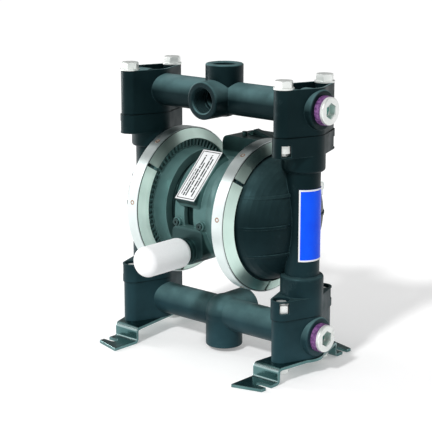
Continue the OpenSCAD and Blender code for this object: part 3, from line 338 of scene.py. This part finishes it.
def turned_steel(name, dark, light, rough, crease_shade=False):
    """Rolled sheet whose grain runs round the drum, with dull clouds and, if asked, painted shade in a thin
    near-black ring beneath a strap's edge.
    """
    g = Finish(name)
    grain = g.noise(900.0, 2.0, g.rings())
    cloud = g.noise(30.0, 4.0)
    colour = g.mix(g.between(grain, 0.0, 1.0, 0.3, 0.7), dark, light)
    colour = g.mix(g.between(cloud, 0.0, 0.30, 0.45, 0.75), colour, scaled(dark, 0.72))
    if crease_shade:
        # Painted shade: a near-black ring just inside the segments' shoulder, standing for the shade where it
        # meets the strap.
        under = g.between(g.drum_radius(), 0.0, 1.0, CREASE_SHADE_R, CREASE_SHADE_R + 0.3 * MM)
        colour = g.mix(under, colour, (0.010, 0.014, 0.014))
    roughness = g.math("ADD", g.between(grain, rough - 0.03, rough + 0.04, 0.3, 0.7),
                       g.between(cloud, 0.0, 0.06, 0.45, 0.75))
    round_drum = g.node("ShaderNodeTangent", direction_type="RADIAL", axis="X")
    g.link(round_drum.outputs[0], g.shader.inputs["Tangent"])
    return g.done(colour, roughness, metallic=1.0, anisotropic=0.75, anisotropic_rotation=0.25)


def weld_tint():
    """Brown heat tint of a spot weld."""
    g = Finish("weld_tint")
    colour = g.mottle(900.0, 3.0, (0.24, 0.15, 0.10), (0.48, 0.35, 0.27))
    return g.done(colour, g.between(g.noise(1300.0, 2.0), 0.30, 0.50), metallic=0.8)


def plain_plastic(name, dark, light, rough, edge=0.3 * MM, gloss=0.5):
    """Smooth plastic or film with a faint mottle and slightly dulled edges."""
    g = Finish(name)
    soft = g.soft_edges(edge)
    speck = g.noise(600.0, 3.0)
    colour = g.mottle(50.0, 4.0, dark, light)
    colour = g.mix(g.times(g.worn(soft), 0.5), colour, scaled(dark, 0.8))
    roughness = g.between(speck, rough - 0.05, rough + 0.06)
    return g.done(colour, roughness, g.bump(speck, 0.02 * MM, soft), specular_ior_level=gloss)


def purple_sealant():
    """Dried paste, patchy in colour and lumpy."""
    g = Finish("purple_sealant")
    lumps = g.noise(420.0, 3.0)
    colour = g.mix(g.between(lumps, 0.0, 1.0), (0.06, 0.015, 0.09), (0.26, 0.11, 0.31))
    return g.done(colour, g.between(lumps, 0.40, 0.62), g.bump(lumps, 0.5 * MM))


def blackened(name, dark, light, rough, edge, bare_and_highlight):
    """Blackened steel: a dark teal sheen, fine peel, edges rubbed towards the plain metal colour, and bends
    lightened towards it as a painted highlight.
    """
    g = Finish(name)
    soft = g.soft_edges(edge)
    peel = g.noise(900.0, 2.0)
    colour = g.mottle(35.0, 4.0, dark, light)
    # Painted highlight: where the normal slants upwards, at the bends, the colour is lightened towards the
    # metal colour as if the bends caught the lamp.
    bend_highlight = g.times(g.facing_up(0.15, 0.55), g.math("SUBTRACT", 1.0, g.facing_up(0.60, 0.92)))
    colour = g.mix(g.times(bend_highlight, 0.75), colour, bare_and_highlight)
    colour = g.mix(g.times(g.worn(soft, 0.02, 0.16), 0.45), colour, bare_and_highlight)
    roughness = g.between(peel, rough - 0.04, rough + 0.05)
    return g.done(colour, roughness, g.bump(peel, 0.008 * MM, soft), metallic=1.0)


def white_muffler():
    """Sintered plastic: white, dull and finely porous, a little grey where it has been handled."""
    g = Finish("white_muffler")
    pores = g.noise(1100.0, 2.0)
    colour = g.mix(g.between(pores, 0.0, 1.0), (0.89, 0.90, 0.91), (0.945, 0.95, 0.96))
    colour = g.mix(g.between(g.noise(32.0, 5.0), 0.0, 0.4, 0.62, 0.82), colour, (0.82, 0.83, 0.85))
    return g.done(colour, g.between(pores, 0.55, 0.72), g.bump(pores, 0.05 * MM), specular_ior_level=0.3)


FINISHES = {
    "black_acetal": black_acetal("black_acetal", 0.30),
    "grey_housing": grey_housing(),
    "rubber_seal": rubber("rubber_seal", (0.012, 0.012, 0.012)),
    "diaphragm_rubber": rubber("diaphragm_rubber", (0.018, 0.018, 0.017)),
    "zinc_steel": steel("zinc_steel", (0.80, 0.84, 0.81), (0.93, 0.95, 0.93), 0.36, 0.4 * MM, metallic=0.55),
    "stainless_strap": turned_steel("stainless_strap", (0.80, 0.885, 0.875), (0.85, 0.925, 0.915), 0.36),
    "stainless_segment": turned_steel("stainless_segment", (0.60, 0.80, 0.725), (0.74, 0.915, 0.84), 0.34,
                                      crease_shade=True),
    "ground_steel": steel("ground_steel", (0.66, 0.67, 0.68), (0.78, 0.79, 0.80), 0.18, 0.2 * MM,
                          (1, 0.1, 0.1), 1200.0),
    "bearing_plastic": plain_plastic("bearing_plastic", (0.50, 0.44, 0.30), (0.62, 0.56, 0.40), 0.45),
    "plate_alloy": steel("plate_alloy", (0.55, 0.56, 0.57), (0.70, 0.71, 0.72), 0.35, 0.3 * MM),
    "white_ptfe": plain_plastic("white_ptfe", (0.76, 0.76, 0.73), (0.84, 0.84, 0.81), 0.38),
    "purple_sealant": purple_sealant(),
    # The last colour of a blackened finish is bare metal at rubbed edges and also the painted highlight at the
    # bends.
    "black_bracket": blackened("black_bracket", (0.085, 0.180, 0.180), (0.140, 0.260, 0.260), 0.20, 0.7 * MM,
                               (0.70, 0.88, 0.88)),
    "white_muffler": white_muffler(),
    "dark_screw": blackened("dark_screw", (0.030, 0.056, 0.056), (0.060, 0.100, 0.100), 0.32, 0.4 * MM,
                            (0.20, 0.28, 0.28)),
    "white_label": plain_plastic("white_label", (0.78, 0.79, 0.80), (0.86, 0.87, 0.88), 0.35, 0.1 * MM),
    "blue_label": plain_plastic("blue_label", (0.0, 0.078, 0.94), (0.0, 0.098, 1.0), 0.34, 0.1 * MM, 0.15),
}
LABEL_INK = plain_plastic("label_ink", (0.008, 0.011, 0.012), (0.022, 0.027, 0.029), 0.45, 0.1 * MM, 0.2)
# Heavier dusting and more painted top light, for the manifolds
DUSTY_TOP_LIT_ACETAL = black_acetal("black_acetal_dusty_top_lit", 1.1)
WELD_TINT = weld_tint()
SOCKET_TINT = steel("socket_tint", (0.04, 0.22, 0.19), (0.12, 0.42, 0.36), 0.30, 0.1 * MM, metallic=0.3)


def dress_nodes():
    """Gives every CAD node the finish of its material slot, and the manifolds the one with a heavier dusting
    and more painted top light.
    """
    for part in frame["record"]["subparts"]:
        mesh = frame["nodes"][part["node"]].data
        mesh.materials.clear()
        dusty_and_top_lit = part["node"] in ("outlet_manifold", "inlet_manifold")
        mesh.materials.append(DUSTY_TOP_LIT_ACETAL if dusty_and_top_lit else FINISHES[part["material_slot"]])
        mesh.polygons.foreach_set("material_index", [0] * len(mesh.polygons))


# Pieces

def mesh_of(name, form):
    """Turns a bmesh into a mesh."""
    mesh = bpy.data.meshes.new(name)
    form.to_mesh(mesh)
    form.free()
    return mesh


def placed(name, data):
    """Puts a mesh, lamp or camera into the scene."""
    made = bpy.data.objects.new(name, data)
    bpy.context.scene.collection.objects.link(made)
    return made


def piece(name, form, material, body="root", smooth=True, film=False):
    """Turns a bmesh in the frame's metres into a piece that rides on a body, where one is named."""
    bmesh.ops.recalc_face_normals(form, faces=form.faces)
    if film:
        bmesh.ops.solidify(form, geom=form.faces[:], thickness=FILM_T)
        bmesh.ops.recalc_face_normals(form, faces=form.faces)
    mesh = mesh_of(name, form)
    for polygon in mesh.polygons:
        polygon.use_smooth = smooth
    mesh.materials.append(material)
    made = placed(name, mesh)
    if body:
        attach(made, body)
    return made


def circle(steps):
    """Angles of a ring's points."""
    return [2 * math.pi * k / steps for k in range(steps)]


def sweep(form, rings, closed_rings=True):
    """Skins a list of rings of points, each ring with as many points as the others."""
    rows = [[form.verts.new(p) for p in ring] for ring in rings]
    count = len(rows[0])
    for here, ahead in zip(rows, rows[1:]):
        for j in range(count if closed_rings else count - 1):
            k = (j + 1) % count
            form.faces.new((here[j], here[k], ahead[k], ahead[j]))
    return rows


# The wedges of a diaphragm: their number, and where the first cut lies, as a share of a wedge that keeps the
# cuts off the CAD mesh's own edges

WEDGES = 16
FIRST_CUT = 0.37


def rolling_diaphragm(node):
    """Cuts a diaphragm into wedges in place of the CAD node; its fold lies between the clamped rim and the
    plates on the shaft.
    """
    step = 2 * math.pi / WEDGES
    for k in range(WEDGES):
        form = bmesh.new()
        form.from_mesh(frame["nodes"][node].data)
        bmesh.ops.remove_doubles(form, verts=form.verts, dist=0.001 * MM)
        for angle, first in (((k + FIRST_CUT) * step, True), ((k + 1 + FIRST_CUT) * step, False)):
            bmesh.ops.bisect_plane(form, geom=form.verts[:] + form.edges[:] + form.faces[:],
                                   plane_co=(0, 0, DRUM_Z), plane_no=(0, -math.sin(angle), math.cos(angle)),
                                   clear_inner=first, clear_outer=not first)
        bmesh.ops.holes_fill(form, edges=form.edges, sides=0)
        wedge = piece("%s_%02d" % (node, k + 1), form, FINISHES["diaphragm_rubber"],
                      body=None)
        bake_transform(wedge)
        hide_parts(node)


# Spot welds: degrees from the front towards the top, and the profile of a ring as radius and lift, in mm

WELD_ANGLES = (6.5, 60.0, 126.5, 180.0, 246.5, 300.0)
WELD_PROFILE = ((1.2, 0.03), (1.75, 0.04), (1.95, 0.12), (2.3, 0.12), (2.5, 0.01))


def on_strap(side, across, along, lift):
    """Point near a strap's outer face: across along X, along as an angle from the front towards the top."""
    low, high = STRAPS[side]
    r = STRAP_R + lift
    return Vector(((low.x + high.x) / 2 + across, -r * math.cos(along), DRUM_Z + r * math.sin(along)))


def spot_welds(side):
    """Brown rings where the strap is welded to its segments."""
    form = bmesh.new()
    for degrees in WELD_ANGLES:
        middle = math.radians(degrees)
        sweep(form, [[on_strap(side, r * MM * math.cos(t), middle + r * MM * math.sin(t) / STRAP_R, lift * MM)
                      for t in circle(24)] for r, lift in WELD_PROFILE])
    piece("spot_welds_" + side, form, WELD_TINT, film=True)


# Thread of a 3/4 inch taper pipe port. Its ridge is drawn on the plain bore of the CAD solid and fades out
# at both ends. The foot is kept just inside the wall. Steps are points along the helix.

PORT_R = 12.3 * MM
PORT_RECESS = 1.6 * MM
THREAD_LENGTH = 15.0 * MM
THREAD_PITCH = 1.814 * MM
THREAD_HEIGHT = 0.9 * MM
FOOT_HALF, CREST_HALF = 0.42 * THREAD_PITCH, 0.08 * THREAD_PITCH
FOOT_SUNK = 0.02
TURN_STEPS = 32
FADE_STEPS = 24


def thread(name, origin, axis):
    """Helical ridge in a bore that opens at origin towards axis."""
    axis = Vector(axis)
    side = axis.orthogonal().normalized()
    other = axis.cross(side)
    steps = int(THREAD_LENGTH / THREAD_PITCH * TURN_STEPS)
    rings = []
    for i in range(steps + 1):
        turn = 2 * math.pi * i / TURN_STEPS
        out = side * math.cos(turn) + other * math.sin(turn)
        depth = -THREAD_LENGTH + THREAD_PITCH * i / TURN_STEPS
        rise = min(1.0, i / FADE_STEPS, (steps - i) / FADE_STEPS)
        rings.append([Vector(origin) + out * (PORT_R - THREAD_HEIGHT * inward) + axis * (depth + shift)
                      for shift, inward in ((-FOOT_HALF, -FOOT_SUNK), (-CREST_HALF, rise),
                                            (CREST_HALF, rise), (FOOT_HALF, -FOOT_SUNK))])
    form = bmesh.new()
    rows = sweep(form, rings)
    form.faces.new(rows[0])
    form.faces.new(rows[-1])
    piece(name, form, FINISHES["black_acetal"])


def ports():
    """Threads of the open liquid ports."""
    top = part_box("outlet_manifold")[1].z - PORT_RECESS
    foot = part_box("inlet_manifold")[0].z + PORT_RECESS
    outlet_axis = middle_z("outlet_plugs")
    inlet_axis = middle_z("inlet_plugs")
    reach = top - outlet_axis
    thread("thread_outlet_top", (0, 0, top), (0, 0, 1))
    thread("thread_outlet_front", (0, -reach, outlet_axis), (0, -1, 0))
    thread("thread_inlet_bottom", (0, 0, foot), (0, 0, -1))
    thread("thread_inlet_rear", (0, reach, inlet_axis), (0, 1, 0))


# Plain print on the white label. A row holds its place across the label and its half height, in mm, and
# where it starts and ends along the label, as shares. The dashes' lengths, in mm, repeat from row to row.

LABEL_ROWS = ((-7.6, 0.45, 0.08, 0.62), (-4.6, 0.80, 0.06, 0.92), (-1.6, 0.70, 0.06, 0.76),
              (3.0, 0.80, 0.14, 0.94), (6.2, 0.70, 0.06, 0.86))
LABEL_DASHES = (9.0, 4.0, 12.0, 6.0, 7.5, 3.0, 10.0)
DASH_GAP = 0.9 * MM
LABEL_TILT = math.radians(45)
LABEL_MARGINS = (1.2 * MM, 1.6 * MM)
LABEL_LINE = 0.8 * MM
LINE_GAP = 0.02 * MM
PRINT_LIFT = 0.30 * MM


def label_print():
    """A frame and rows of plain dashes in place of print, flat on the white label."""
    low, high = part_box("boss_label")
    middle = (low + high) / 2
    tilt = Matrix.Rotation(LABEL_TILT, 3, "X")
    x = (high.x - low.x) / 2 - LABEL_MARGINS[0]
    y = (high.y - low.y) / 2 / math.cos(LABEL_TILT) - LABEL_MARGINS[1]
    lift = tilt @ Vector((0, 0, PRINT_LIFT))
    form = bmesh.new()

    def patch(x0, x1, y0, y1):
        corners = [Vector(c) for c in ((x0, y0, 0), (x1, y0, 0), (x1, y1, 0), (x0, y1, 0))]
        form.faces.new([form.verts.new(middle + tilt @ c + lift) for c in corners])

    patch(-x, x, -y, -y + LABEL_LINE)
    patch(-x, x, y - LABEL_LINE, y)
    inner = y - LABEL_LINE - LINE_GAP
    patch(-x, -x + LABEL_LINE, -inner, inner)
    patch(x - LABEL_LINE, x, -inner, inner)
    for row, (across, half, start, end) in enumerate(LABEL_ROWS):
        at, stop = -y + 2 * y * start, -y + 2 * y * end
        turn = row
        while at < stop:
            ahead = min(stop, at + LABEL_DASHES[turn % len(LABEL_DASHES)] * MM)
            patch((across - half) * MM, (across + half) * MM, at, ahead)
            at, turn = ahead + DASH_GAP, turn + 1
    piece("label_print", form, LABEL_INK, smooth=False, film=True)


# The bottom of a plug's socket: its depth, and a shallow cone as radius and bulge, in mm

SOCKET_DEPTH = 7.9 * MM
SOCKET_PROFILE = ((6.8, 0.0), (4.5, 0.25), (1.5, 0.35))


def socket_floors(plugs):
    """Tinted plating at the bottom of the hexagon sockets of two plugs."""
    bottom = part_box(plugs)[1].x - SOCKET_DEPTH
    height = middle_z(plugs)
    form = bmesh.new()
    for side in (-1, 1):
        rings = [[Vector((side * (bottom + bulge * MM), r * MM * math.cos(t), height + r * MM * math.sin(t)))
                  for t in circle(32)] for r, bulge in SOCKET_PROFILE]
        rows = sweep(form, rings)
        form.faces.new(rows[-1])
    piece("socket_floors_" + plugs.split("_")[0], form, SOCKET_TINT, film=True)


BORDER_W = 1.6 * MM
BORDER_LIFT = 0.05 * MM


def badge_border():
    """White border of the coloured label, wrapped round the column."""
    low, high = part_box("cover_badge")
    seats_low, seats_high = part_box("outlet_seats")
    column_x = seats_high.x - (seats_high.y - seats_low.y) / 2
    label_r = high.x - column_x
    r = label_r + BORDER_LIFT
    wrap = math.asin(min(1.0, (high.y - low.y) / 2 / label_r))
    if low.x < column_x:
        wrap = math.pi - wrap
    form = bmesh.new()

    def patch(a0, a1, z0, z1, steps):
        angles = [a0 + (a1 - a0) * i / steps for i in range(steps + 1)]
        sweep(form, [[Vector((column_x + r * math.cos(a), r * math.sin(a), z)) for z in (z0, z1)]
                     for a in angles], closed_rings=False)

    patch(-wrap, wrap, low.z, low.z + BORDER_W, 40)
    patch(-wrap, wrap, high.z - BORDER_W, high.z, 40)
    turn = BORDER_W / r
    for a in (-wrap, wrap - turn):
        patch(a, a + turn, low.z + BORDER_W, high.z - BORDER_W, 2)
    piece("badge_border", form, FINISHES["white_label"], smooth=False, film=True)


# Lamps: the direction that the key light comes from, and a card at the left that shines at the drum

KEY_FROM = (0.13, -0.755, 0.643)
KEY_STRENGTH = 2.0
KEY_ANGLE = math.radians(6)
LEFT_CARD_AT = Vector((-1.5, -0.35, 0.45))
LEFT_CARD_WATTS = 12.0

# Light from all round, and the floor: half its size, how far it lies below the feet, and what is added to
# its own white where camera, gloss or glass looks at it

AMBIENT = 0.52
FLOOR_HALF = 20.0
FLOOR_DROP = 0.2 * MM
FLOOR_GLOW = 0.25

# What gloss sees: a room, and white cards as middle, cosines where the card starts and is full, brightness

DARK_ROOM = 0.16
CARDS = (
    ((-0.70, -0.71, -0.05), 0.72, 0.84, 1.0),
    ((-0.64, 0.25, 0.73), 0.88, 0.95, 0.95),
    ((0.89, -0.44, 0.12), 0.86, 0.93, 1.0),
    ((0.40, 0.75, 0.53), 0.86, 0.97, 0.85),
)

# The photo's view, from a camera fitted to points of the object

CAMERA_AT = (0.9216, -1.0559, 0.4790)
CAMERA_TILT = math.radians(90 - 13.6)
CAMERA_TURN = math.radians(41.46)
CAMERA_LENS, CAMERA_SENSOR = 118.18, 36.0


def lamp(name, kind, towards, power, place=(0, 0, 0), **values):
    """A lamp at a place that shines away from the direction towards."""
    made = bpy.data.lights.new(name, kind)
    made.energy = power
    for key, value in values.items():
        setattr(made, key, value)
    holder = placed(name, made)
    holder.location = place
    holder.rotation_euler = (-Vector(towards)).to_track_quat("-Z", "Y").to_euler()


def world():
    """Even soft light; white behind the object, and a room with white cards for gloss."""
    made = bpy.data.worlds.new("studio")
    g = Nodes(made)
    place = g.node("ShaderNodeTexCoord").outputs["Generated"]
    level = DARK_ROOM
    for middle, start, full, bright in CARDS:
        near = g.node("ShaderNodeVectorMath", operation="DOT_PRODUCT")
        g.link(place, near.inputs[0])
        near.inputs[1].default_value = Vector(middle).normalized()
        level = g.most(level, g.between(near.outputs["Value"], 0.0, bright, start, full, "SMOOTHSTEP"))
    rays = g.node("ShaderNodeLightPath").outputs
    strength = g.most(g.times(rays["Is Glossy Ray"], level), rays["Is Camera Ray"],
                      rays["Is Transmission Ray"], g.times(rays["Is Diffuse Ray"], AMBIENT))
    surround = g.tree.nodes["Background"]
    surround.inputs["Color"].default_value = (1, 1, 1, 1)
    g.link(strength, surround.inputs["Strength"])
    bpy.context.scene.world = made


def floor():
    """Plain white floor that keeps the object's soft shadow."""
    form = bmesh.new()
    form.faces.new([form.verts.new((FLOOR_HALF * x, FLOOR_HALF * y, 0))
                    for x, y in ((-1, -1), (1, -1), (1, 1), (-1, 1))])
    made = placed("floor", mesh_of("floor", form))
    made.location.z = -FLOOR_DROP
    g = Finish("floor")
    g.done(g.mottle(30.0, 3.0, (0.845, 0.845, 0.845), (0.855, 0.855, 0.855)), 0.9, specular_ior_level=0.0)
    glow = g.node("ShaderNodeEmission")
    rays = g.node("ShaderNodeLightPath").outputs
    seen = g.most(rays["Is Camera Ray"], rays["Is Glossy Ray"], rays["Is Transmission Ray"])
    g.link(g.times(seen, FLOOR_GLOW), glow.inputs["Strength"])
    both = g.node("ShaderNodeAddShader")
    g.link(g.shader.outputs[0], both.inputs[0])
    g.link(glow.outputs[0], both.inputs[1])
    g.link(both.outputs[0], g.tree.nodes["Material Output"].inputs["Surface"])
    made.data.materials.append(g.material)


def camera():
    lens = bpy.data.cameras.new("camera")
    lens.lens = CAMERA_LENS
    lens.sensor_width = CAMERA_SENSOR
    lens.clip_end = 50.0
    made = placed("camera", lens)
    made.location = CAMERA_AT
    made.rotation_euler = Euler((CAMERA_TILT, 0, CAMERA_TURN))
    bpy.context.scene.camera = made


def studio():
    bpy.context.scene.view_settings.view_transform = "Standard"
    camera()
    world()
    floor()
    lamp("key", "SUN", KEY_FROM, KEY_STRENGTH, angle=KEY_ANGLE)
    lamp("left_card", "AREA", LEFT_CARD_AT - Vector((0, 0, DRUM_Z)), LEFT_CARD_WATTS, LEFT_CARD_AT,
         shape="RECTANGLE", size=0.5, size_y=1.0)


dress_nodes()
for strap_side in STRAPS:
    spot_welds(strap_side)
for diaphragm in ("diaphragm_left", "diaphragm_right"):
    rolling_diaphragm(diaphragm)
ports()
label_print()
for plug_pair in ("outlet_plugs", "inlet_plugs"):
    socket_floors(plug_pair)
badge_border()
studio()
